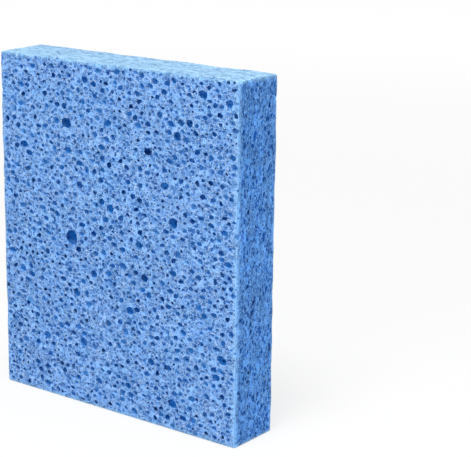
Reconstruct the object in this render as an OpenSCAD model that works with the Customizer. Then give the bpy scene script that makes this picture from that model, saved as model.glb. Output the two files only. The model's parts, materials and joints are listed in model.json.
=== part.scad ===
// Cleaning sponge: one block sawn from foamed cellulose.
// The saw cuts through bubbles of many sizes, and each one it meets is left
// as a round pit in the face: a deep one where the cut passes near the
// bubble's middle, a shallow dish where it only clips the bubble.
// The block stands on its narrow base, with a broad face to the front (-Y).

/* [Block] */
// Width of the broad face
block_w = 110; // [90:1:150]
// Height of the broad face
block_h = 128; // [100:1:170]
// Thickness between the two broad faces
block_t = 22; // [16:1:40]
// Rounding of the four upright edges
upright_edge_r = 1.4; // [0.6:0.1:3]
// Rounding of the edges round the top and the base
end_edge_r = 0.8; // [0.4:0.1:2]

/* [Bubbles] */
// Bubbles cut open on each square centimetre of the back
back_per_cm2 = 1.8; // [0.5:0.1:3]
// Small bubbles between the large ones on each square centimetre of the front
front_per_cm2 = 1.4; // [0.5:0.1:2.5]
// Bubbles cut open on each square centimetre of the four narrow faces
rim_per_cm2 = 1.2; // [0.4:0.1:2]
// Smallest bubble drawn on the broad faces
broad_min_d = 1.9; // [1.6:0.1:2.6]
// Smallest bubble drawn on the narrow faces
rim_min_d = 1.4; // [1.2:0.1:2]
// How far the sizes of the bubbles spread above the smallest
size_spread = 0.44; // [0.2:0.02:0.6]
// How far the sizes of the small ones on the front spread
front_spread = 0.24; // [0.1:0.02:0.6]
// Thinnest wall left between two bubbles
wall = 0.25; // [0.15:0.05:0.8]
// How far a bubble may bite past the edge of its face
edge_bite = 0.4; // [0:0.1:0.4]
// Radius round the middle of the base that stays whole
base_land_r = 6; // [3:1:8]
// Which foaming of the cellulose: another number gives another sponge
foam_seed = 7; // [1:1:99]

/* [Hidden] */
$fn = 20;

// Places tried for each bubble before it is left out
TRIES = 14;
// A bubble's middle lies this share of its radius under the face, at least
// and at most
SHALLOW = -0.45;
DEEP = 0.6;

// A face: its middle, the direction of its width and of its height, the
// direction that it looks to, and half its width and half its height
FRONT = [[0, -block_t / 2, block_h / 2], [1, 0, 0], [0, 0, 1], [0, -1, 0],
    block_w / 2, block_h / 2];
BACK = [[0, block_t / 2, block_h / 2], [1, 0, 0], [0, 0, 1], [0, 1, 0],
    block_w / 2, block_h / 2];
RIGHT = [[block_w / 2, 0, block_h / 2], [0, 1, 0], [0, 0, 1], [1, 0, 0],
    block_t / 2, block_h / 2];
LEFT = [[-block_w / 2, 0, block_h / 2], [0, 1, 0], [0, 0, 1], [-1, 0, 0],
    block_t / 2, block_h / 2];
TOP = [[0, 0, block_h], [1, 0, 0], [0, 1, 0], [0, 0, 1],
    block_w / 2, block_t / 2];
BASE = [[0, 0, 0], [1, 0, 0], [0, 1, 0], [0, 0, -1],
    block_w / 2, block_t / 2];

// The large bubbles of the front, by eye from the real sponge:
// distance right of the middle, height above the base, width and height of
// the opening, and depth of the bubble's middle as a share of its radius
LARGE = [
    [-20, 63, 5, 4.8, 0.6], [16, 99.5, 4, 3.4, 0.6], [49, 31, 4.8, 3.4, 0.3],
    [27, 10, 4, 4, 0.1], [40, 122, 4.8, 3, 0.3], [-42, 35, 4.6, 4.6, -0.4],
    [-22, 105, 4.2, 3.6, 0.5], [-45.5, 47, 4.2, 4.2, -0.3],
    [12, 65.5, 3.6, 3.6, 0.2], [27.5, 76, 3.6, 3.6, 0.3],
    [-2.5, 107, 4, 3.4, -0.1], [-15, 24, 3.6, 3.4, 0.1],
    [-9.5, 51, 3.4, 3.4, 0.1], [-18, 42.5, 3, 3.6, 0.4],
    [-16, 83, 3.6, 3, 0.3], [-13, 121.5, 3.6, 2.6, 0.3],
    [23.5, 88.5, 4, 3, 0.1], [7.5, 40.5, 3.6, 2.8, 0.3],
    [-43.5, 94.5, 4.6, 3.2, 0.2], [51, 120, 3.4, 2.8, 0.2],
    [5.5, 32, 3, 3.6, -0.2], [-33.5, 23, 3.6, 3.4, 0],
    [-1.5, 76.5, 3.4, 3, 0.2], [-5.5, 78.5, 2.8, 2.8, 0.3],
    [4.5, 56.5, 3.6, 2.6, 0.1], [14.5, 54, 3, 2.8, 0.5],
    [27.5, 58, 3, 2.8, 0.3], [-2.5, 52.5, 3, 3, 0],
    [-14, 11.5, 4, 3, -0.4], [-7.5, 10.5, 3.4, 2.8, 0],
    [17.5, 23.5, 3, 3, 0.4], [-37.5, 114.5, 3.8, 3.2, -0.4],
    [-7, 125, 3.6, 2.4, -0.3], [29, 106.5, 3, 3, 0.4],
    [31, 111.5, 3, 2.6, 0.5], [34.5, 111.5, 3, 2.8, 0.4],
    [-17, 59, 2.8, 3, 0.5], [-12.5, 89, 2.4, 3, 0.2],
    [-5, 94, 3.2, 2.8, 0.2], [-23, 111, 2.6, 2.6, 0.4],
    [39.5, 79.5, 3.6, 2.2, 0.2], [53, 41, 2.4, 3, 0.2],
    [49.5, 37, 2.2, 3, 0.3], [49.5, 76, 3, 2.4, 0.1],
    [25, 23, 3.6, 2.2, 0.4], [9.5, 3, 2.8, 2.8, 0.1],
    [-52, 80, 2.8, 2.8, 0.1], [-53, 55, 2.6, 3, 0.1],
    [11.5, 108, 3, 2.8, -0.4], [-15, 108.5, 3.4, 2.6, -0.4],
    [28, 99, 2.8, 2.6, 0.1], [12.5, 93, 2.4, 2.4, 0.3],
    [12.5, 87, 2.6, 2.2, 0.3], [-21.5, 95, 3.8, 2.6, 0.1],
    [-39.5, 98, 2.6, 3, 0], [-26, 99.5, 2.6, 2.2, 0.2],
    [33, 63, 3.8, 2.6, -0.4], [19.5, 71.5, 3.8, 2.6, -0.4],
    [-12.5, 39, 3.4, 2.6, -0.4], [46, 58.5, 2, 2.8, 0.5],
    [38, 91.5, 2.8, 2.2, 0.5], [6.5, 21, 2.8, 2.4, 0.2],
    [-33.5, 4, 3.6, 2.4, 0.1], [22.5, 53.5, 2.2, 2.8, 0.2],
    [44.5, 86.5, 2.6, 2, 0.3], [46.5, 34.5, 3, 2, 0.3]
];

// A rectangle with rounded corners
module soft_rectangle(w, h, r) {
    square([w - 2 * r, h], center = true);
    square([w, h - 2 * r], center = true);
    for (x = [-1, 1], y = [-1, 1])
        translate([x * (w / 2 - r), y * (h / 2 - r)])
            circle(r);
}

// The block before its bubbles are opened: three rounded outlines crossed
module block() {
    intersection() {
        linear_extrude(block_h)
            soft_rectangle(block_w, block_t, upright_edge_r);
        translate([0, block_t / 2, block_h / 2])
            rotate([90, 0, 0])
                linear_extrude(block_t)
                    soft_rectangle(block_w, block_h, end_edge_r);
        translate([-block_w / 2, 0, block_h / 2])
            rotate([90, 0, 90])
                linear_extrude(block_w)
                    soft_rectangle(block_t, block_h, end_edge_r);
    }
}

// A bubble is its middle, its radius and the direction its face looks to.
// How far from the middle of a face a bubble of this radius may lie
function reach(half, r) = half - r + edge_bite;

// Is a bubble clear of all those already there, with a wall between them?
function is_clear(middle, r, placed) =
    len([for (b = placed) if (norm(middle - b[0]) < r + b[1] + wall) 1]) == 0;

// Diameter of bubble i of n: each size is rarer than the one below it
function bubble_d(i, n, smallest, spread) =
    smallest + spread * ln(n / (i + 1));

// Bubbles thrown on a face at random, the largest first, each at the first
// place tried that is clear of the rest
function scatter(face, n, smallest, spread, seed, placed, i = 0) =
    i >= n ? placed :
    let (
        r = bubble_d(i, n, smallest, spread) / 2,
        across = rands(-1, 1, TRIES, seed + 3 * i),
        along = rands(-1, 1, TRIES, seed + 3 * i + 1),
        sunk = rands(SHALLOW, DEEP, TRIES, seed + 3 * i + 2),
        free = [for (t = [0 : TRIES - 1])
            let (middle = face[0]
                + across[t] * reach(face[4], r) * face[1]
                + along[t] * reach(face[5], r) * face[2]
                - sunk[t] * r * face[3])
            if (is_clear(middle, r, placed)) middle]
    )
    scatter(face, n, smallest, spread, seed,
        len(free) == 0 ? placed : concat(placed, [[free[0], r, face[3]]]),
        i + 1);

// Number of bubbles on a face
function bubbles_on(face, per_cm2) =
    round(per_cm2 * 4 * face[4] * face[5] / 100);

// A large opening is one sphere, or two side by side where it is longer one
// way: the radius of each, and how far each stands from the middle
function lobe_r(b) = min(b[2], b[3]) / 2 / sqrt(1 - b[4] * b[4]);
function lobe_shift(b) =
    [max(0, b[2] - b[3]) / 2, 0, max(0, b[3] - b[2]) / 2];
function large_middle(b) =
    [b[0], -block_t / 2 + b[4] * lobe_r(b), b[1]];
function large_r(b) = lobe_r(b) + norm(lobe_shift(b));

// Those large bubbles that lie on the front at the block's present size
ON_FRONT = [for (b = LARGE)
    if (abs(b[0]) <= reach(block_w / 2, large_r(b))
        && abs(b[1] - block_h / 2) <= reach(block_h / 2, large_r(b))) b];

LARGE_BUBBLES = [for (b = ON_FRONT) [large_middle(b), large_r(b), FRONT[3]]];
BASE_LAND = [[BASE[0], base_land_r, BASE[3]]];

// Every bubble, face by face: each face is filled round what is there
STEP = 1000 * foam_seed;
KEPT = concat(BASE_LAND, LARGE_BUBBLES);
ON_BROAD = scatter(BACK, bubbles_on(BACK, back_per_cm2), broad_min_d,
    size_spread, STEP, KEPT);
ON_BOTH = scatter(FRONT, bubbles_on(FRONT, front_per_cm2), broad_min_d,
    front_spread, STEP + 1000, ON_BROAD);
ON_RIGHT = scatter(RIGHT, bubbles_on(RIGHT, rim_per_cm2), rim_min_d,
    size_spread, STEP + 2000, ON_BOTH);
ON_LEFT = scatter(LEFT, bubbles_on(LEFT, rim_per_cm2), rim_min_d,
    size_spread, STEP + 3000, ON_RIGHT);
ON_TOP = scatter(TOP, bubbles_on(TOP, rim_per_cm2), rim_min_d,
    size_spread, STEP + 4000, ON_LEFT);
ON_ALL = scatter(BASE, bubbles_on(BASE, rim_per_cm2), rim_min_d,
    size_spread, STEP + 5000, ON_TOP);
SCATTERED = [for (i = [len(KEPT) : len(ON_ALL) - 1]) ON_ALL[i]];

// A bubble whose poles point in and out of its face
module bubble(middle, r, looks) {
    translate(middle)
        rotate([90 * abs(looks[1]), 90 * abs(looks[0]), 0])
            sphere(r);
}

module large_bubble(b) {
    shift = lobe_shift(b);
    bubble(large_middle(b) + shift, lobe_r(b), FRONT[3]);
    if (norm(shift) > 0)
        bubble(large_middle(b) - shift, lobe_r(b), FRONT[3]);
}

module sponge() {
    color([0.44, 0.61, 0.85])
        difference() {
            block();
            for (b = ON_FRONT)
                large_bubble(b);
            for (b = SCATTERED)
                bubble(b[0], b[1], b[2]);
        }
}

sponge();
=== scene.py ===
import math
import random
from collections import namedtuple

import bpy
from mathutils import Euler, Matrix, Vector, noise
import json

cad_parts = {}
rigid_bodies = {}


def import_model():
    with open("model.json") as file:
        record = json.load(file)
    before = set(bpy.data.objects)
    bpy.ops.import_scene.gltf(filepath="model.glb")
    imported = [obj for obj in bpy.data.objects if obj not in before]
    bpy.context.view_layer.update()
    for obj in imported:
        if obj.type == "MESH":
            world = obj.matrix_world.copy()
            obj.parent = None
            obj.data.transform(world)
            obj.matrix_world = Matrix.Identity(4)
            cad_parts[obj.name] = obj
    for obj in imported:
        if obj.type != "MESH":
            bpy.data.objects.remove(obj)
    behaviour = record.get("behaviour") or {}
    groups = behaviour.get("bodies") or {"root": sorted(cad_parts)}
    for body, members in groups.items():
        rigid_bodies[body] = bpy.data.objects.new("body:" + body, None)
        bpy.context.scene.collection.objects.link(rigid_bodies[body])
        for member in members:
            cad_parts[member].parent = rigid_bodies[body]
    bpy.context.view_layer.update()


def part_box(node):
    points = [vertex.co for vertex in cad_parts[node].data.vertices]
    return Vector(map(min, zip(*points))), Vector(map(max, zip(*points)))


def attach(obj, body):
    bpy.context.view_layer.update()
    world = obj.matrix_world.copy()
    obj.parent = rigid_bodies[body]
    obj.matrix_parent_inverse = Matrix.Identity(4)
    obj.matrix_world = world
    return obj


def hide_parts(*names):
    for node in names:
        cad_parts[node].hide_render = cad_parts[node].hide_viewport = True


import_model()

# Lengths are in metres where no comment says otherwise
MM = 0.001
SQUARE_CM = 0.0001
LOW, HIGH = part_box("sponge")
MIDDLE = (LOW + HIGH) / 2
HALF = (HIGH - LOW) / 2
X = Vector((1, 0, 0))
Y = Vector((0, 1, 0))
Z = Vector((0, 0, 1))

# A face: its middle, the directions of its width and its length, the direction
# that it looks to, and half its width and half its length
Face = namedtuple("Face", "middle across along outward half_across half_along")
FRONT = Face(MIDDLE - HALF.y * Y, X, Z, -Y, HALF.x, HALF.z)
BACK = Face(MIDDLE + HALF.y * Y, X, Z, Y, HALF.x, HALF.z)
RIGHT = Face(MIDDLE + HALF.x * X, Y, Z, X, HALF.y, HALF.z)
LEFT = Face(MIDDLE - HALF.x * X, Y, Z, -X, HALF.y, HALF.z)
TOP = Face(MIDDLE + HALF.z * Z, Y, X, Z, HALF.y, HALF.x)
BASE = Face(MIDDLE - HALF.z * Z, Y, X, -Z, HALF.y, HALF.x)
EDGES = (
    (FRONT, RIGHT), (FRONT, LEFT), (BACK, RIGHT), (BACK, LEFT), (FRONT, TOP), (BACK, TOP),
    (RIGHT, TOP), (LEFT, TOP), (FRONT, BASE), (BACK, BASE), (RIGHT, BASE), (LEFT, BASE),
)

# The sawn block: the rounding of its edges, how far apart its skin is cut
# across, how uneven it is in long and short waves, and the height above the
# base over which that sets in
UPRIGHT_EDGE = 1.4 * MM
END_EDGE = 0.8 * MM
CUT_SPACING = 3 * MM
UNEVENNESS = 0.2 * MM
LONG_WAVE = 14 * MM
SHORT_WAVE = 5 * MM
FLAT_HEIGHT = 5 * MM

# A point lies on a face from this share of the way out from the middle, and
# two points lie at the same height when they are no farther apart than this
ON_FACE = 0.999
SAME_HEIGHT = 1e-6

# Which foaming of the cellulose: another number gives another sponge
FOAM_SEED = 11

# A bubble: its middle, its radius, how it is drawn out and how it is turned
Bubble = namedtuple("Bubble", "middle radius stretch turn")

# Bubbles thrown at each face: how many for each square centimetre, how far
# their diameters spread above the smallest, their largest diameter, both in
# millimetres, and how far they are drawn out at most
SMALLEST_BUBBLE = 0.85
BROAD_COUNT = 22
BROAD_SPREAD = 0.8
RIM_COUNT = 8
TOP_COUNT = 4.8
RIM_SPREAD = 0.36
FOAM_PLAN = (
    (FRONT, BROAD_COUNT, BROAD_SPREAD, 2.9, 0.45 * X),
    (BACK, BROAD_COUNT, BROAD_SPREAD, 4.5, 0.45 * X),
    (RIGHT, RIM_COUNT, RIM_SPREAD, 3.2, 0.8 * Z),
    (LEFT, RIM_COUNT, RIM_SPREAD, 3.2, 0.8 * Z),
    (TOP, TOP_COUNT, RIM_SPREAD, 2.4, 0.6 * X),
    (BASE, RIM_COUNT, RIM_SPREAD, 3.2, 0.6 * X),
)

# How a bubble is placed: the places tried for it, how far its middle lies
# under the face as shares of its radius, how far it may bite past the face's
# edge, and the thinnest wall to the next one
PLACES_TRIED = 12
SUNK = (-0.15, 0.65)
EDGE_BITE = 0.9 * MM
WALL = 0.1 * MM

# Placed bubbles are looked up in cells of this width, so wide that none
# touches a bubble beyond the next cell
CROWD_CELL = 6 * MM
WINDOW_CELL = 4 * MM

# Nicks along the edges: their spacing, their radii in millimetres, and how far
# they stand out of each face as shares of their radius
NICK_SPACING = 2.2 * MM
NICK_RADII = (0.45, 0.95)
NICK_REACH = (-0.8, 0.4)

# Windows in the walls of large bubbles: how many are tried for each, their
# radii and their distance from its middle as shares of its radius, and how far
# their direction may lean outward, as a cosine
WINDOWS_TRIED = 2
WINDOW_SHARES = (0.3, 0.5)
WINDOW_SEAT = 0.95
WINDOW_TILT = -0.1

# Bubbles over the first radius are cast from the finest moulds, those over the
# last from middling ones and the rest from simple ones. Thrown bubbles over the
# second get windows
FINE_RADIUS = 1.5 * MM
LARGE_RADIUS = 1.0 * MM
MEDIUM_RADIUS = 0.72 * MM

# Forms of the moulds of one fineness, as shares of the radius along each axis
MOULD_FORMS = ((1, 1, 1), (1, 0.8, 0.85), (0.85, 1, 0.75), (0.95, 0.75, 1), (1, 0.9, 0.7))

# The front's large openings are cast this much larger, since a mould that is
# out of round cuts narrower, and the largest are no deeper than twice this
# radius, so that light reaches down
MOULD_GAIN = 1.06
DEEP_RADIUS = 1.9 * MM

# The large openings of the front, as in the part's source, in millimetres:
# right of the middle, height above the base, width, height, and the depth of
# the bubble's middle as a share of its radius
LARGE_OPENINGS = (
    (-20, 63, 5, 4.8, 0.6), (16, 99.5, 4, 3.4, 0.6), (49, 31, 4.8, 3.4, 0.3),
    (27, 10, 4, 4, 0.1), (40, 122, 4.8, 3, 0.3), (-42, 35, 4.6, 4.6, -0.4),
    (-22, 105, 4.2, 3.6, 0.5), (-45.5, 47, 4.2, 4.2, -0.3),
    (12, 65.5, 3.6, 3.6, 0.2), (27.5, 76, 3.6, 3.6, 0.3),
    (-2.5, 107, 4, 3.4, -0.1), (-15, 24, 3.6, 3.4, 0.1),
    (-9.5, 51, 3.4, 3.4, 0.1), (-18, 42.5, 3, 3.6, 0.4),
    (-16, 83, 3.6, 3, 0.3), (-13, 121.5, 3.6, 2.6, 0.3),
    (23.5, 88.5, 4, 3, 0.1), (7.5, 40.5, 3.6, 2.8, 0.3),
    (-43.5, 94.5, 4.6, 3.2, 0.2), (51, 120, 3.4, 2.8, 0.2),
    (5.5, 32, 3, 3.6, -0.2), (-33.5, 23, 3.6, 3.4, 0),
    (-1.5, 76.5, 3.4, 3, 0.2), (-5.5, 78.5, 2.8, 2.8, 0.3),
    (4.5, 56.5, 3.6, 2.6, 0.1), (14.5, 54, 3, 2.8, 0.5),
    (27.5, 58, 3, 2.8, 0.3), (-2.5, 52.5, 3, 3, 0),
    (-14, 11.5, 4, 3, -0.4), (-7.5, 10.5, 3.4, 2.8, 0),
    (17.5, 23.5, 3, 3, 0.4), (-37.5, 114.5, 3.8, 3.2, -0.4),
    (-7, 125, 3.6, 2.4, -0.3), (29, 106.5, 3, 3, 0.4),
    (31, 111.5, 3, 2.6, 0.5), (34.5, 111.5, 3, 2.8, 0.4),
    (-17, 59, 2.8, 3, 0.5), (-12.5, 89, 2.4, 3, 0.2),
    (-5, 94, 3.2, 2.8, 0.2), (-23, 111, 2.6, 2.6, 0.4),
    (39.5, 79.5, 3.6, 2.2, 0.2), (53, 41, 2.4, 3, 0.2),
    (49.5, 37, 2.2, 3, 0.3), (49.5, 76, 3, 2.4, 0.1),
    (25, 23, 3.6, 2.2, 0.4), (9.5, 3, 2.8, 2.8, 0.1),
    (-52, 80, 2.8, 2.8, 0.1), (-53, 55, 2.6, 3, 0.1),
    (11.5, 108, 3, 2.8, -0.4), (-15, 108.5, 3.4, 2.6, -0.4),
    (28, 99, 2.8, 2.6, 0.1), (12.5, 93, 2.4, 2.4, 0.3),
    (12.5, 87, 2.6, 2.2, 0.3), (-21.5, 95, 3.8, 2.6, 0.1),
    (-39.5, 98, 2.6, 3, 0), (-26, 99.5, 2.6, 2.2, 0.2),
    (33, 63, 3.8, 2.6, -0.4), (19.5, 71.5, 3.8, 2.6, -0.4),
    (-12.5, 39, 3.4, 2.6, -0.4), (46, 58.5, 2, 2.8, 0.5),
    (38, 91.5, 2.8, 2.2, 0.5), (6.5, 21, 2.8, 2.4, 0.2),
    (-33.5, 4, 3.6, 2.4, 0.1), (22.5, 53.5, 2.2, 2.8, 0.2),
    (44.5, 86.5, 2.6, 2, 0.3), (46.5, 34.5, 3, 2, 0.3),
)

# The finished mesh: it is thinned to this many triangles, mended this many
# times at most, and smooth where its faces meet at less than this angle
MOST_TRIANGLES = 195000
MOST_REPAIRS = 8
SMOOTH_ANGLE = math.radians(38)

# Cells too fine to model: their width in millimetres and the share that is
# open, the net of pale ridges between them, its cells in millimetres and its
# lines as a share of them, and the height of the bump
FINE_CELLS = ((1.25, 0.95), (2.1, 0.5))
NET_CELL = 1.7
NET_LINE = 0.09
BUMP_DEPTH = 0.55 * MM

# Colours of the walls, and of what lies over them
WALL_TINTS = ((0.215, 0.47, 0.96, 1), (0.25, 0.50, 0.97, 1))
PATCH_TINT = (0.22, 0.495, 0.96, 1)
# Painted sheen: the ends are made paler and whiter
END_SHEEN_TINT = (0.44, 0.735, 0.92, 1)
# Pale band along the upright edges, partly a pale pressed band of the foam and partly a painted
# highlight
EDGE_BAND_HIGHLIGHT_WALL_TINT = (0.34, 0.64, 1.0, 1)
NET_TINT = (0.40, 0.62, 1.0, 1)
# Pale bands along the upright edges and the edges of the ends, partly a pale pressed band of
# the foam and partly a painted highlight
EDGE_BAND_HIGHLIGHT_TINT = (0.26, 0.50, 0.87, 1)
END_EDGE_BAND_HIGHLIGHT_TINT = (0.34, 0.64, 0.93, 1)

# Colours that those are multiplied with: in the fibres, and as painted shade in
# the fine pits, on the sides, and with depth as a share of the deepest, in
# millimetres, which makes the bubbles darker and bluer down inside
FIBRE_TINTS = ((0.67, 0.725, 0.78, 1), (1.20, 1.11, 1.04, 1))
PIT_SHADE_TINT = (0.085, 0.235, 0.43, 1)
SIDE_SHADE_TINT = (0.49, 0.765, 0.99, 1)
DEEPEST_SHADE_DEPTH = 4.0
DEPTH_SHADE_TINTS = (
    (0.07, (1, 1, 1, 1)),
    (0.15, (0.25, 0.53, 0.69, 1)),
    (0.35, (0.07, 0.37, 0.61, 1)),
    (1.0, (0.03, 0.31, 0.57, 1)),
)

# The floor lies this little under the base, so that the two don't flicker. A
# share of what the camera sees of it is a glow, which grows with the distance
# from the sponge: where it starts and ends, and its strength at both
FLOOR_GAP = 0.05 * MM
FLOOR_SIZE = 6
FLOOR_GREY = (0.82, 0.82, 0.82, 1)
WHITE = (1, 1, 1, 1)
GLOW_SHARE = 0.75
GLOW_FROM, GLOW_TO = 0.2, 1.2
GLOW_NEAR, GLOW_FAR = 1.0, 1.17

# Lamps: name, place, width and power in watts, and the light of the room
LAMPS = (
    ("overhead_lamp", (0.15, -0.4, 1.1), 0.45, 9.9),
    ("front_lamp", (0.1, -1.2, 0.55), 0.6, 4.15),
    ("side_lamp", (1.1, 0.1, 0.35), 0.6, 3.4),
)
ROOM_LIGHT = 0.45

# Camera: where it stands, where it looks and the length of its lens
CAMERA_POINT = Vector((0.3469, -0.4014, 0.2048))
CAMERA_YAW = math.radians(-36.86)
CAMERA_PITCH = math.radians(14.5)
CAMERA_ROLL = math.radians(0.75)
LENS = 115.9


def deselect_all():
    if bpy.context.object and bpy.context.object.mode != "OBJECT":
        bpy.ops.object.mode_set(mode="OBJECT")
    bpy.ops.object.select_all(action="DESELECT")


def make_active(piece):
    deselect_all()
    piece.select_set(True)
    bpy.context.view_layer.objects.active = piece


def apply_modifier(piece, kind, **settings):
    """Adds a modifier with these settings and applies it."""
    make_active(piece)
    modifier = piece.modifiers.new(kind.lower(), kind)
    for name, value in settings.items():
        setattr(modifier, name, value)
    bpy.ops.object.modifier_apply(modifier=modifier.name)


def select_edges(piece, wanted):
    """Selects the edges for whose two ends wanted(a, b) is true, in edit mode."""
    bpy.ops.object.mode_set(mode="EDIT")
    bpy.ops.mesh.select_mode(type="EDGE")
    bpy.ops.mesh.select_all(action="DESELECT")
    bpy.ops.object.mode_set(mode="OBJECT")
    points = piece.data.vertices
    for edge in piece.data.edges:
        a, b = (points[i].co for i in edge.vertices)
        edge.select = wanted(a, b)
    bpy.ops.object.mode_set(mode="EDIT")


def add_camera():
    """The photograph's viewing angle, with no shift and no depth of field."""
    forward = Vector((
        math.sin(CAMERA_YAW) * math.cos(CAMERA_PITCH),
        math.cos(CAMERA_YAW) * math.cos(CAMERA_PITCH),
        -math.sin(CAMERA_PITCH),
    ))
    level = Vector((math.cos(CAMERA_YAW), -math.sin(CAMERA_YAW), 0))
    upright = level.cross(forward)
    right = level * math.cos(CAMERA_ROLL) + upright * math.sin(CAMERA_ROLL)
    up = upright * math.cos(CAMERA_ROLL) - level * math.sin(CAMERA_ROLL)
    deselect_all()
    bpy.ops.object.camera_add()
    camera = bpy.context.object
    camera.name = "camera"
    turn = Matrix((right, up, -forward)).transposed()
    camera.matrix_world = Matrix.Translation(CAMERA_POINT) @ turn.to_4x4()
    camera.data.lens = LENS
    camera.data.clip_start = 0.01
    camera.data.clip_end = 20
    bpy.context.scene.camera = camera


def faces_touched(p):
    """How many of the block's faces a point of its plain form lies on."""
    away = p - MIDDLE
    return sum(abs(away[i]) > ON_FACE * HALF[i] for i in range(3))


def saw_block():
    """The sawn block before its bubbles are opened, its faces a little uneven."""
    deselect_all()
    bpy.ops.mesh.primitive_cube_add(size=2, location=MIDDLE)
    block = bpy.context.object
    block.name = "foam_block"
    block.scale = HALF
    bpy.ops.object.transform_apply(location=True, rotation=True, scale=True)

    def is_upright(a, b):
        return abs(a.z - b.z) > HALF.z

    select_edges(block, is_upright)
    bpy.ops.mesh.bevel(offset=UPRIGHT_EDGE, segments=4, affect="EDGES")

    def is_round_an_end(a, b):
        is_flat = abs(a.z - b.z) < SAME_HEIGHT
        is_at_end = abs(abs(a.z - MIDDLE.z) - HALF.z) < SAME_HEIGHT
        return is_flat and is_at_end and min(faces_touched(a), faces_touched(b)) >= 1

    select_edges(block, is_round_an_end)
    bpy.ops.mesh.bevel(offset=END_EDGE, segments=3, affect="EDGES")
    bpy.ops.object.mode_set(mode="OBJECT")
    crosscut(block)
    roughen(block)
    return block


def crosscut(block):
    """Cuts the block's skin across every few millimetres, for its unevenness."""
    for i, axis in enumerate((X, Y, Z)):
        count = round(2 * HALF[i] / CUT_SPACING)
        for k in range(1, count):
            point = MIDDLE + axis * (2 * HALF[i] * k / count - HALF[i])
            make_active(block)
            bpy.ops.object.mode_set(mode="EDIT")
            bpy.ops.mesh.select_all(action="SELECT")
            bpy.ops.mesh.bisect(plane_co=point, plane_no=axis)
            bpy.ops.object.mode_set(mode="OBJECT")


def roughen(block):
    """Pushes the skin in and out by a little, but keeps the base flat."""
    noise.seed_set(FOAM_SEED)
    for vertex in block.data.vertices:
        p = vertex.co
        wave = noise.noise_vector(p / LONG_WAVE) + noise.noise_vector(p / SHORT_WAVE)
        above_base = min(1, (p.z - LOW.z) / FLAT_HEIGHT)
        vertex.co = p + wave * UNEVENNESS * above_base


def bubble_mould(subdivisions, seed, roughness, form):
    """One bubble of radius 1 to cast others from: a ball pushed out of round."""
    deselect_all()
    bpy.ops.mesh.primitive_ico_sphere_add(subdivisions=subdivisions, radius=1)
    mould = bpy.context.object
    bpy.ops.object.mode_set(mode="EDIT")
    bpy.ops.mesh.select_all(action="SELECT")
    bpy.ops.transform.vertex_random(offset=roughness, uniform=0.2, normal=0.7, seed=seed)
    bpy.ops.transform.resize(value=form)
    bpy.ops.object.mode_set(mode="OBJECT")
    points = [v.co.copy() for v in mould.data.vertices]
    faces = [tuple(f.vertices) for f in mould.data.polygons]
    bpy.data.objects.remove(mould)
    return points, faces


def bubble_moulds(subdivisions, roughness):
    """A few moulds of one fineness: round, long, flat and lopsided."""
    return [
        bubble_mould(subdivisions, 20 * subdivisions + k, roughness, form)
        for k, form in enumerate(MOULD_FORMS)
    ]


class Crowd:
    """Bubbles already placed, kept by place so that near ones are found fast."""

    def __init__(self, cell):
        self.cell = cell
        self.cells = {}

    def key(self, p):
        return tuple(math.floor(c / self.cell) for c in p)

    def near(self, p):
        """Bubbles in the point's own cell and in those next to it."""
        i, j, k = self.key(p)
        for di in (-1, 0, 1):
            for dj in (-1, 0, 1):
                for dk in (-1, 0, 1):
                    yield from self.cells.get((i + di, j + dj, k + dk), ())

    def is_clear(self, p, radius, wall):
        for other, other_radius in self.near(p):
            if (p - other).length < radius + other_radius + wall:
                return False
        return True

    def add(self, p, radius):
        self.cells.setdefault(self.key(p), []).append((p, radius))


def diameters(count, spread, largest):
    """Diameters in metres, largest first: each size is rarer than the one below."""
    sizes = [SMALLEST_BUBBLE + spread * math.log(count / (i + 1)) for i in range(count)]
    return [d * MM for d in sizes if d <= largest]


def random_turn(dice):
    """A turn about all three axes."""
    return Euler([dice.uniform(0, 2 * math.pi) for i in range(3)]).to_matrix()


def throw_bubbles(face, sizes, crowd, dice, drawn):
    """Throws bubbles at a face, each kept where it first lies clear of the rest."""
    thrown = []
    for size in sizes:
        radius = size / 2
        for attempt in range(PLACES_TRIED):
            across = dice.uniform(-1, 1) * (face.half_across - radius + EDGE_BITE)
            along = dice.uniform(-1, 1) * (face.half_along - radius + EDGE_BITE)
            sunk = dice.uniform(*SUNK) * radius
            p = face.middle + face.across * across + face.along * along
            p = p - face.outward * sunk
            if crowd.is_clear(p, radius, WALL):
                crowd.add(p, radius)
                turn = random_turn(dice)
                stretch = Matrix.Diagonal(Vector((1, 1, 1)) + drawn * dice.random())
                thrown.append(Bubble(p, radius, stretch, turn))
                break
    return thrown


def edge_nicks(crowd, dice):
    """Small bubbles that lie on the block's edges and make them ragged."""
    nicks = []
    for one, other in EDGES:
        edge = one.middle + other.middle - MIDDLE
        along = one.outward.cross(other.outward)
        half = max(abs(along[i]) * HALF[i] for i in range(3))
        for k in range(round(2 * half / NICK_SPACING)):
            radius = dice.uniform(*NICK_RADII) * MM
            p = edge + along * dice.uniform(-half, half)
            p = p + one.outward * dice.uniform(*NICK_REACH) * radius
            p = p + other.outward * dice.uniform(*NICK_REACH) * radius
            if crowd.is_clear(p, radius, WALL):
                crowd.add(p, radius)
                nicks.append(Bubble(p, radius, Matrix.Identity(3), random_turn(dice)))
    return nicks


def large_bubbles(crowd, dice):
    """The front's large openings: one bubble each, as wide and high as it is."""
    made = []
    for across, height, wide, high, sunk in LARGE_OPENINGS:
        # A bubble that is cut off its middle is wider than its opening
        share = math.sqrt(1 - sunk * sunk)
        radius = min(wide, high) / 2 / share * MM
        flat = min(1, DEEP_RADIUS / radius)
        p = Vector((across * MM, FRONT.middle.y + sunk * radius * flat, height * MM))
        stretch = Matrix.Diagonal((max(1, wide / high), flat, max(1, high / wide)))
        crowd.add(p, max(wide, high) / 2 / share * MM)
        made.append(Bubble(p, radius * MOULD_GAIN, stretch, random_turn(dice)))
    return made


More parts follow.
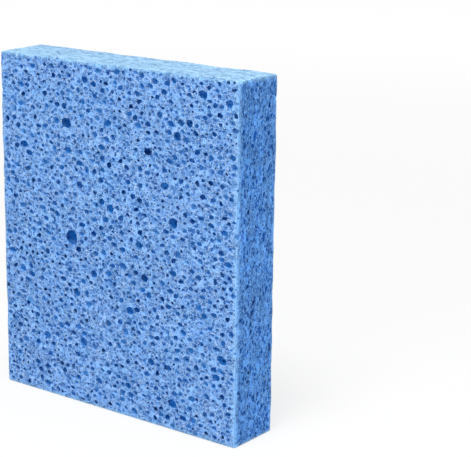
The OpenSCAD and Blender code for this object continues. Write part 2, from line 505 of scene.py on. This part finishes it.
def facing(bubble):
    """The outward direction of the face that a bubble lies nearest to."""
    away = bubble.middle - MIDDLE
    i = min(range(3), key=lambda k: HALF[k] - abs(away[k]))
    return Vector([math.copysign(1, away[k]) if k == i else 0 for k in range(3)])


def inner_windows(bubbles, dice):
    """Smaller bubbles that break through the walls of large ones from inside."""
    windows = []
    crowd = Crowd(WINDOW_CELL)
    for bubble in bubbles:
        outward = facing(bubble)
        for k in range(WINDOWS_TRIED):
            way = Vector([dice.gauss(0, 1) for i in range(3)]).normalized()
            if way.dot(outward) > WINDOW_TILT:
                continue
            radius = bubble.radius * dice.uniform(*WINDOW_SHARES)
            p = bubble.middle + way * bubble.radius * WINDOW_SEAT
            if crowd.is_clear(p, radius, 0):
                crowd.add(p, radius)
                windows.append(Bubble(p, radius, Matrix.Identity(3), random_turn(dice)))
    return windows


def cast_bubbles(bubbles, moulds, dice):
    """One mesh of many bubbles, each cast from one of the moulds."""
    points = []
    faces = []
    for bubble in bubbles:
        mould_points, mould_faces = dice.choice(moulds)
        start = len(points)
        shape = bubble.stretch @ bubble.turn * bubble.radius
        points.extend(bubble.middle + shape @ p for p in mould_points)
        faces.extend(tuple(start + i for i in face) for face in mould_faces)
    mesh = bpy.data.meshes.new("bubbles")
    mesh.from_pydata(points, [], faces)
    cast = bpy.data.objects.new("bubbles", mesh)
    bpy.context.collection.objects.link(cast)
    return cast


def open_bubbles(block, bubbles, moulds, dice):
    """Cuts the bubbles out of the block."""
    cast = cast_bubbles(bubbles, moulds, dice)
    apply_modifier(block, "BOOLEAN", operation="DIFFERENCE", solver="MANIFOLD", object=cast)
    bpy.data.objects.remove(cast)


def foam_sponge():
    """The block with all its bubbles opened."""
    dice = random.Random(FOAM_SEED)
    block = saw_block()
    crowd = Crowd(CROWD_CELL)
    large = large_bubbles(crowd, dice)
    medium = []
    small = edge_nicks(crowd, dice)
    for face, per_square_cm, spread, largest, drawn in FOAM_PLAN:
        area = 4 * face.half_across * face.half_along / SQUARE_CM
        sizes = diameters(round(per_square_cm * area), spread, largest)
        for bubble in throw_bubbles(face, sizes, crowd, dice, drawn):
            if bubble.radius > LARGE_RADIUS:
                large.append(bubble)
            elif bubble.radius > MEDIUM_RADIUS:
                medium.append(bubble)
            else:
                small.append(bubble)
    windows = inner_windows(large, dice)
    fine_moulds = bubble_moulds(subdivisions=3, roughness=0.12)
    middling_moulds = bubble_moulds(subdivisions=2, roughness=0.16)
    simple_moulds = bubble_moulds(subdivisions=1, roughness=0.2)
    finest = [b for b in large if b.radius > FINE_RADIUS]
    rest = [b for b in large if b.radius <= FINE_RADIUS]
    open_bubbles(block, finest, fine_moulds, dice)
    open_bubbles(block, rest + medium, middling_moulds, dice)
    open_bubbles(block, small, simple_moulds, dice)
    open_bubbles(block, windows, simple_moulds, dice)
    drop_loose_skins(block)
    return block


def drop_loose_skins(block):
    """Deletes skins that aren't joined to the outer one: shut-in bubbles and crumbs."""
    topmost = max(block.data.vertices, key=lambda v: v.co.z).index
    make_active(block)
    bpy.ops.object.mode_set(mode="EDIT")
    bpy.ops.mesh.select_mode(type="VERT")
    bpy.ops.mesh.select_all(action="DESELECT")
    bpy.ops.object.mode_set(mode="OBJECT")
    block.data.vertices[topmost].select = True
    bpy.ops.object.mode_set(mode="EDIT")
    bpy.ops.mesh.select_linked()
    bpy.ops.mesh.select_all(action="INVERT")
    bpy.ops.mesh.delete(type="VERT")
    bpy.ops.object.mode_set(mode="OBJECT")


def close_shell(block):
    """Mends the few spots that thinning leaves open or doubled."""
    make_active(block)
    for attempt in range(MOST_REPAIRS):
        bpy.ops.object.mode_set(mode="EDIT")
        bpy.ops.mesh.select_mode(type="VERT")
        bpy.ops.mesh.select_all(action="DESELECT")
        bpy.ops.mesh.select_non_manifold()
        bpy.ops.object.mode_set(mode="OBJECT")
        if not any(v.select for v in block.data.vertices):
            break
        # Cut the faces round a bad spot small first, so that little is taken out
        bpy.ops.object.mode_set(mode="EDIT")
        bpy.ops.mesh.select_more()
        bpy.ops.mesh.subdivide(number_cuts=2)
        bpy.ops.mesh.select_all(action="DESELECT")
        bpy.ops.mesh.select_non_manifold()
        bpy.ops.mesh.delete(type="VERT")
        bpy.ops.mesh.select_all(action="SELECT")
        bpy.ops.mesh.fill_holes(sides=0)
        bpy.ops.mesh.quads_convert_to_tris()
        bpy.ops.mesh.delete_loose()
        bpy.ops.object.mode_set(mode="OBJECT")


def finish_mesh(block):
    """Thins the block to its count of triangles, closes it and smooths its bubbles."""
    count = sum(len(p.vertices) - 2 for p in block.data.polygons)
    if count > MOST_TRIANGLES:
        apply_modifier(block, "DECIMATE", ratio=MOST_TRIANGLES / count,
            use_collapse_triangulate=True)
    close_shell(block)
    drop_loose_skins(block)
    make_active(block)
    bpy.ops.object.shade_smooth_by_angle(angle=SMOOTH_ANGLE)


class Tree:
    """Adds nodes to a material's or a group's tree and links them by name."""

    def __init__(self, tree):
        self.links = tree.links
        self.nodes = tree.nodes
        self.nodes.clear()

    def put(self, value, socket):
        """Links another node's output to an input, or sets it to a plain value."""
        if isinstance(value, bpy.types.NodeSocket):
            self.links.new(value, socket)
        else:
            socket.default_value = value

    def add(self, kind, inputs=None, **settings):
        """A node with these settings; its inputs go by their name or their number."""
        node = self.nodes.new(kind)
        for name, value in settings.items():
            setattr(node, name, value)
        for name, value in (inputs or {}).items():
            self.put(value, node.inputs[name])
        return node

    def group(self, node_tree, inputs):
        """The outputs of a shader group with these inputs."""
        return self.add("ShaderNodeGroup", inputs, node_tree=node_tree).outputs

    def math(self, operation, *values):
        inputs = dict(enumerate(values))
        return self.add("ShaderNodeMath", inputs, operation=operation).outputs[0]

    def vector(self, operation, *values):
        inputs = dict(enumerate(values))
        return self.add("ShaderNodeVectorMath", inputs, operation=operation).outputs[0]

    def scaled(self, vector, factor):
        inputs = {"Vector": vector, "Scale": factor}
        return self.add("ShaderNodeVectorMath", inputs, operation="SCALE").outputs[0]

    def drawn(self, point, x, y, z):
        """A point scaled along each axis, which draws what lies on it out or in."""
        factors = self.add("ShaderNodeCombineXYZ", {"X": x, "Y": y, "Z": z})
        return self.vector("MULTIPLY", point, factors.outputs[0])

    def noise(self, point, scale, detail, roughness=0.5):
        """Soft noise between 0 and 1, and the same as a colour."""
        return self.add("ShaderNodeTexNoise", {
            "Vector": point, "Scale": scale, "Detail": detail, "Roughness": roughness,
        }).outputs

    def between(self, share, at_none, at_full):
        """Goes straight from one value to the other as the share goes from 0 to 1."""
        return self.math("MULTIPLY_ADD", share, at_full - at_none, at_none)

    def smooth_step(self, value, start, end, low=0.0, high=1.0):
        """Goes softly from low to high as the value goes from start to end."""
        node = self.add("ShaderNodeMapRange", {
            "Value": value, "From Min": start, "From Max": end,
            "To Min": low, "To Max": high,
        }, interpolation_type="SMOOTHSTEP")
        return node.outputs["Result"]

    def mix(self, factor, a, b, blend="MIX"):
        node = self.add("ShaderNodeMix", data_type="RGBA", blend_type=blend)
        sockets = {socket.identifier: socket for socket in node.inputs}
        self.put(factor, sockets["Factor_Float"])
        self.put(a, sockets["A_Color"])
        self.put(b, sockets["B_Color"])
        return next(s for s in node.outputs if s.identifier == "Result_Color")

    def tinted(self, colour, tint):
        """A colour multiplied by another."""
        return self.mix(1.0, colour, tint, "MULTIPLY")

    def shaded(self, colour, value):
        """A colour made lighter or darker by a plain factor."""
        inputs = {"Red": value, "Green": value, "Blue": value}
        return self.tinted(colour, self.add("ShaderNodeCombineColor", inputs).outputs[0])


FLOAT = "NodeSocketFloat"
VECTOR = "NodeSocketVector"


def new_group(name, inputs, outputs):
    """An empty shader group with named sockets: its tree, its way in and out."""
    group = bpy.data.node_groups.new(name, "ShaderNodeTree")
    for socket_name, kind, value in inputs:
        socket = group.interface.new_socket(socket_name, in_out="INPUT", socket_type=kind)
        socket.default_value = value
    for socket_name in outputs:
        group.interface.new_socket(socket_name, in_out="OUTPUT", socket_type=FLOAT)
    tree = Tree(group)
    way_in = tree.add("NodeGroupInput")
    way_out = tree.add("NodeGroupOutput")
    return group, tree, way_in.outputs, way_out


def block_depth_group():
    """How deep a point lies under the block's skin, and which faces it is near."""
    group, tree, given, way_out = new_group(
        "block_depth",
        [("Point", VECTOR, (0, 0, 0)), ("Middle", VECTOR, (0, 0, 0)),
            ("Half size", VECTOR, (1, 1, 1))],
        ["Depth", "Upright edge", "End edge", "Side", "End"],
    )
    away = tree.vector("ABSOLUTE", tree.vector("SUBTRACT", given["Point"], given["Middle"]))
    under = tree.vector("SUBTRACT", given["Half size"], away)
    x, y, z = tree.add("ShaderNodeSeparateXYZ", {"Vector": under}).outputs
    nearest_upright = tree.math("MINIMUM", x, y)
    results = {
        "Depth": tree.math("MINIMUM", nearest_upright, z),
        "Upright edge": tree.math("MAXIMUM", x, y),
        "End edge": tree.math("MAXIMUM", nearest_upright, z),
        "Side": tree.math("LESS_THAN", x, tree.math("MINIMUM", y, z)),
        "End": tree.math("LESS_THAN", z, nearest_upright),
    }
    for name, value in results.items():
        tree.put(value, way_out.inputs[name])
    return group


def fine_cells_group():
    """Cells too fine to model: round pits side by side, with ridges between them."""
    group, tree, given, way_out = new_group(
        "fine_cells",
        [("Point", VECTOR, (0, 0, 0)), ("Cell", FLOAT, 1.0), ("Open share", FLOAT, 0.5)],
        ["Depth"],
    )
    cells_place = tree.scaled(given["Point"], tree.math("DIVIDE", 1.0, given["Cell"]))
    wobble = tree.noise(cells_place, 1.5, 1.0)["Color"]
    voronoi = {"Vector": tree.vector("ADD", cells_place, tree.scaled(wobble, 0.6)),
        "Scale": 1.0, "Randomness": 1.0}
    cells = tree.add("ShaderNodeTexVoronoi", voronoi, feature="F1").outputs
    borders = tree.add("ShaderNodeTexVoronoi", voronoi, feature="DISTANCE_TO_EDGE").outputs
    lots = tree.add("ShaderNodeSeparateColor", {"Color": cells["Color"]}).outputs

    closed = tree.math("SUBTRACT", 1.0, given["Open share"])
    openness = tree.smooth_step(lots[0], closed, tree.math("ADD", closed, 0.2))
    rim = tree.between(lots[1], 0.7, 0.9)
    inside = tree.smooth_step(cells["Distance"], tree.math("MULTIPLY", rim, 0.3), rim, 1.0, 0.0)
    inside = tree.math("MULTIPLY", tree.between(inside, 0.4, 1.0),
        tree.smooth_step(borders["Distance"], 0.04, 0.16))
    strength = tree.math("MULTIPLY", openness, tree.between(lots[2], 0.4, 1.0))
    tree.put(tree.math("MULTIPLY", inside, strength), way_out.inputs["Depth"])
    return group


def ridge_net_group():
    """Thin pale ridges that run between the cells and meet in a net."""
    group, tree, given, way_out = new_group(
        "ridge_net",
        [("Point", VECTOR, (0, 0, 0)), ("Cell", FLOAT, 1.0), ("Line", FLOAT, 0.1)],
        ["Ridge"],
    )
    cells_place = tree.scaled(given["Point"], tree.math("DIVIDE", 1.0, given["Cell"]))
    wobble = tree.noise(cells_place, 1.6, 2.0)["Color"]
    place = tree.vector("ADD", cells_place, tree.scaled(wobble, 0.5))
    borders = tree.add("ShaderNodeTexVoronoi", {"Vector": place, "Scale": 1.0,
        "Randomness": 1.0}, feature="DISTANCE_TO_EDGE").outputs
    ridge = tree.smooth_step(borders["Distance"], tree.math("MULTIPLY", given["Line"], 0.3),
        given["Line"], 1.0, 0.0)
    here = tree.smooth_step(tree.noise(cells_place, 0.7, 1.0)[0], 0.35, 0.55)
    tree.put(tree.math("MULTIPLY", ridge, here), way_out.inputs["Ridge"])
    return group


def fine_pits(tree, point, where):
    """How deep the pits too fine to model are, from 0 to about 1."""
    cells = fine_cells_group()
    layers = [
        tree.group(cells, {"Point": point, "Cell": cell, "Open share": share})["Depth"]
        for cell, share in FINE_CELLS
    ]
    # Deeper on the sides and shallower on the ends than on the broad faces
    by_face = tree.math("ADD", tree.between(where["Side"], 1.0, 1.3),
        tree.math("MULTIPLY", where["End"], -0.45))
    pits = tree.math("MULTIPLY", tree.math("MAXIMUM", *layers), by_face)
    # Just under a bubble's rim the wall is bare, and farther down its pits are faint
    depth = where["Depth"]
    rim = tree.math("MULTIPLY", tree.smooth_step(depth, 0.14, 0.22),
        tree.smooth_step(depth, 0.35, 0.55, 1.0, 0.0))
    pits = tree.math("MULTIPLY", pits, tree.between(rim, 1.0, 0.0))
    return tree.math("MULTIPLY", pits, tree.smooth_step(depth, 0.2, 0.7, 1.0, 0.2))


def wall_colour(tree, point, fibres, edge, where):
    """The colour of the cell walls, with the patches and streaks of each face."""
    side = where["Side"]
    end = where["End"]
    tint = tree.noise(point, 0.35, 2.0)[0]
    patches = tree.noise(point, 0.12, 3.0)[0]
    colour = tree.mix(tree.smooth_step(tint, 0.35, 0.65), *WALL_TINTS)
    colour = tree.mix(tree.smooth_step(patches, 0.35, 0.7, 0.0, 0.6), colour, PATCH_TINT)
    # Painted sheen: the ends are made paler and whiter
    colour = tree.mix(tree.math("MULTIPLY", end, 0.7), colour, END_SHEEN_TINT)
    # Along the upright edges a pale band, partly the foam's own pressed band and partly a
    # painted highlight
    colour = tree.mix(edge, colour, EDGE_BAND_HIGHLIGHT_WALL_TINT)
    colour = tree.tinted(colour, tree.mix(tree.smooth_step(fibres, 0.3, 0.7), *FIBRE_TINTS))

    # Streaks run upright on the sides and lengthwise on the ends
    streak_point = tree.drawn(point, tree.between(end, 1.0, 0.07), 1.0,
        tree.between(side, 1.0, 0.1))
    streaks = tree.noise(streak_point, 0.9, 3.0)[0]
    streaked = tree.shaded(colour, tree.smooth_step(streaks, 0.35, 0.7, 1.0, 0.8))
    streak_share = tree.math("MAXIMUM", side, tree.math("MULTIPLY", end, 0.7))
    colour = tree.mix(streak_share, colour, streaked)

    # Broad upright patches on the sides
    broad = tree.noise(tree.drawn(point, 0.25, 0.25, 0.07), 1.0, 2.0)[0]
    patched = tree.shaded(colour, tree.smooth_step(broad, 0.35, 0.65, 1.12, 0.82))
    return tree.mix(side, colour, patched)


def depth_shade_tint(tree, depth):
    """Painted shade: the colour grows darker and bluer the deeper a point lies in a bubble,
    standing in for its shade and the blue light bounced round in it.
    """
    share = tree.math("DIVIDE", depth, DEEPEST_SHADE_DEPTH)
    node = tree.add("ShaderNodeValToRGB", {"Fac": share})
    stops = node.color_ramp.elements
    first, *others, last = DEPTH_SHADE_TINTS
    for stop, (position, tint) in zip(stops, (first, last)):
        stop.position = position
        stop.color = tint
    for position, tint in others:
        stops.new(position).color = tint
    return node.outputs["Color"]


def cellulose_material():
    """Dyed cellulose foam: pale walls, with painted shade that makes it darker and deeper blue
    down in the bubbles.
    """
    material = bpy.data.materials.new("blue_cellulose")
    material.use_nodes = True
    tree = Tree(material.node_tree)
    place = tree.add("ShaderNodeTexCoord").outputs["Object"]
    point = tree.scaled(place, 1 / MM)
    where = tree.group(block_depth_group(),
        {"Point": point, "Middle": MIDDLE / MM, "Half size": HALF / MM})
    depth = where["Depth"]
    side = where["Side"]
    end = where["End"]
    # Masks of the pale bands along the upright edges and the edges of the ends, partly a pale
    # pressed band of the foam and partly a painted highlight
    edge = tree.smooth_step(where["Upright edge"], 0.6, 2.4, 0.45, 0.0)
    end_edge_band_highlight = tree.math("MULTIPLY", tree.between(end, 1.0, 0.0),
        tree.smooth_step(where["End edge"], 0.5, 1.8, 0.45, 0.0))

    # Cells are drawn out upright on the sides and lengthwise on the ends
    drawn_point = tree.drawn(point, tree.between(end, 0.95, 0.4),
        tree.between(side, 1.0, 1.15), tree.between(side, 1.0, 0.8))
    fibres = tree.noise(drawn_point, 2.4, 4.0, roughness=0.65)[0]
    pits = fine_pits(tree, drawn_point, where)
    net = tree.group(ridge_net_group(),
        {"Point": drawn_point, "Cell": NET_CELL, "Line": NET_LINE})["Ridge"]
    net = tree.math("MULTIPLY", net, tree.between(end, 1.0, 0.5))
    net = tree.math("MULTIPLY", net, tree.smooth_step(depth, 0.3, 0.8, 0.75, 0.15))

    walls = wall_colour(tree, point, fibres, edge, where)
    # Painted shade: darker and bluer the deeper a point lies in a bubble
    colour = tree.tinted(walls, depth_shade_tint(tree, depth))
    # Painted shade in the fine pits, which are too fine to model and so cast no shade of their
    # own
    colour = tree.mix(pits, colour, tree.tinted(colour, PIT_SHADE_TINT))
    colour = tree.mix(net, colour, NET_TINT)
    # Painted shade: the sides are made darker and bluer
    colour = tree.mix(side, colour, tree.tinted(colour, SIDE_SHADE_TINT))
    # Pale bands along the edges: partly a pale pressed band of the foam, partly a painted
    # highlight
    colour = tree.mix(edge, colour, EDGE_BAND_HIGHLIGHT_TINT)
    colour = tree.mix(end_edge_band_highlight, colour, END_EDGE_BAND_HIGHLIGHT_TINT)

    relief = tree.math("SUBTRACT", tree.math("MULTIPLY", fibres, 0.2), pits)
    relief = tree.math("ADD", relief, tree.math("MULTIPLY", net, 0.5))
    bump = tree.add("ShaderNodeBump", {"Height": relief, "Strength": 1.0,
        "Distance": BUMP_DEPTH})
    at_skin = tree.math("MULTIPLY", tree.smooth_step(depth, 0.1, 1.2, 1.0, 0.0),
        tree.between(pits, 1.0, 0.0))
    shader = tree.add("ShaderNodeBsdfPrincipled", {
        "Base Color": colour,
        "Roughness": tree.smooth_step(fibres, 0.3, 0.7, 0.7, 0.95),
        "Normal": bump.outputs[0],
        "Sheen Weight": tree.math("MULTIPLY", at_skin, 0.06),
        "Sheen Roughness": 0.5,
        "Specular IOR Level": tree.math("MULTIPLY", at_skin, 0.15),
    })
    tree.add("ShaderNodeOutputMaterial", {"Surface": shader.outputs[0]})
    return material


def seen_directly(tree):
    """1 for rays from the camera, and for those that a mirror or glass sends on."""
    rays = tree.add("ShaderNodeLightPath").outputs
    sent_on = tree.math("MAXIMUM", rays["Is Glossy Ray"], rays["Is Transmission Ray"])
    return tree.math("MAXIMUM", rays["Is Camera Ray"], sent_on)


def floor_material():
    """A plain white floor that keeps the sponge's soft shadow."""
    material = bpy.data.materials.new("white_floor")
    material.use_nodes = True
    tree = Tree(material.node_tree)
    matt = tree.add("ShaderNodeBsdfDiffuse", {"Color": FLOOR_GREY}).outputs[0]
    place = tree.add("ShaderNodeTexCoord").outputs["Object"]
    away = tree.add("ShaderNodeVectorMath", {"Vector": place}, operation="LENGTH")
    strength = tree.smooth_step(away.outputs["Value"], GLOW_FROM, GLOW_TO, GLOW_NEAR, GLOW_FAR)
    glow = tree.add("ShaderNodeEmission", {"Color": WHITE, "Strength": strength}).outputs[0]
    share = tree.math("MULTIPLY", seen_directly(tree), GLOW_SHARE)
    mixed = tree.add("ShaderNodeMixShader", {0: share, 1: matt, 2: glow})
    tree.add("ShaderNodeOutputMaterial", {"Surface": mixed.outputs[0]})
    return material


def add_floor():
    """The white floor that the sponge stands on, which isn't part of it."""
    deselect_all()
    bpy.ops.mesh.primitive_plane_add(size=FLOOR_SIZE, location=(0, 0, LOW.z - FLOOR_GAP))
    floor = bpy.context.object
    floor.name = "floor"
    floor.data.materials.append(floor_material())


def add_lamp(name, place, size, power):
    """A soft square lamp that looks at the sponge."""
    deselect_all()
    bpy.ops.object.light_add(type="AREA", location=place)
    lamp = bpy.context.object
    lamp.name = name
    lamp.data.size = size
    lamp.data.energy = power
    lamp.rotation_euler = (MIDDLE - Vector(place)).to_track_quat("-Z", "Y").to_euler()


def add_room():
    """Soft white light from all round, and a white background behind the sponge."""
    world = bpy.data.worlds.new("pale_room")
    bpy.context.scene.world = world
    world.use_nodes = True
    tree = Tree(world.node_tree)
    strength = tree.math("MAXIMUM", seen_directly(tree), ROOM_LIGHT)
    sky = tree.add("ShaderNodeBackground", {"Color": WHITE, "Strength": strength})
    tree.add("ShaderNodeOutputWorld", {"Surface": sky.outputs[0]})


bpy.context.scene.view_settings.view_transform = "Standard"
add_camera()
sponge = foam_sponge()
finish_mesh(sponge)
sponge.name = "foam_sponge"
sponge.data.materials.clear()
sponge.data.materials.append(cellulose_material())
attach(sponge, "root")
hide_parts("sponge")
add_floor()
for lamp in LAMPS:
    add_lamp(*lamp)
add_room()
